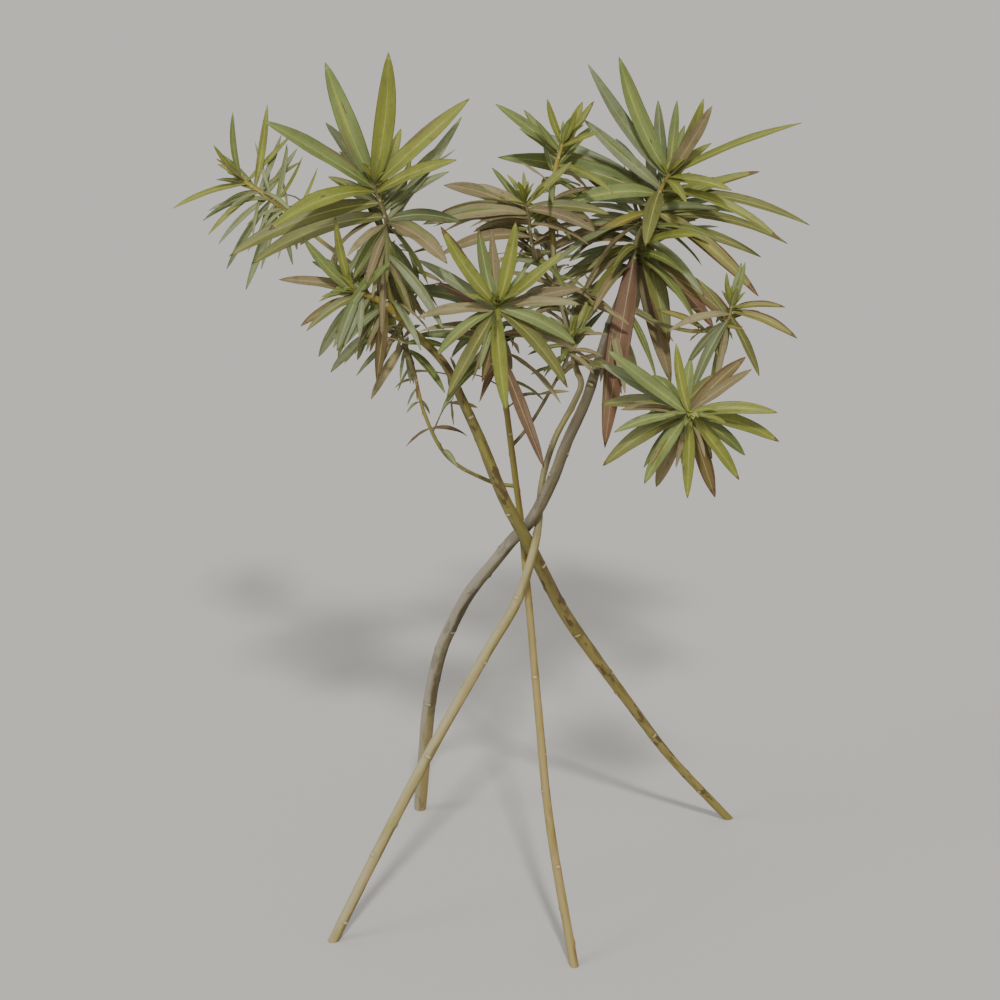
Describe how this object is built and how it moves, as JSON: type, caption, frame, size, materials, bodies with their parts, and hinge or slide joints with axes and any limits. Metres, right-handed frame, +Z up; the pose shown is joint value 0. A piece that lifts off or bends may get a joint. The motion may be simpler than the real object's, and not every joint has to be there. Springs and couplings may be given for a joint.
{
  "type": "honey spurge shrub",
  "caption": "Honey spurge shrub: bare leaning canes that cross at half height and carry rosettes of long narrow leaves.",
  "frame": {"origin": "middle of the flat cut at ground level under the thickest cane, the back left one", "axes": "+Z up, +X to the right and +Y away from someone standing in front of the plant"},
  "size_m": [0.8738, 0.6172, 1.2129],
  "materials": {
    "bark": "matte",
    "leaves": "matte"
  },
  "bodies": {
    "root": {"stem_back_left": "bark", "stem_front_left": "bark", "stem_middle": "bark", "stem_right": "bark", "bough_far_left": "bark", "bough_inner_left": "bark", "bough_inner_right": "bark", "bough_low_right": "bark", "bough_right": "bark", "leaves_high_left": "leaves", "leaves_far_left": "leaves", "leaves_left": "leaves", "leaves_front": "leaves", "leaves_high_right": "leaves", "leaves_back": "leaves", "leaves_low_right": "leaves", "leaves_right": "leaves", "leaves_inner_back": "leaves", "leaves_inner_left": "leaves", "leaves_inner_right": "leaves"}
  },
  "joints": []
}
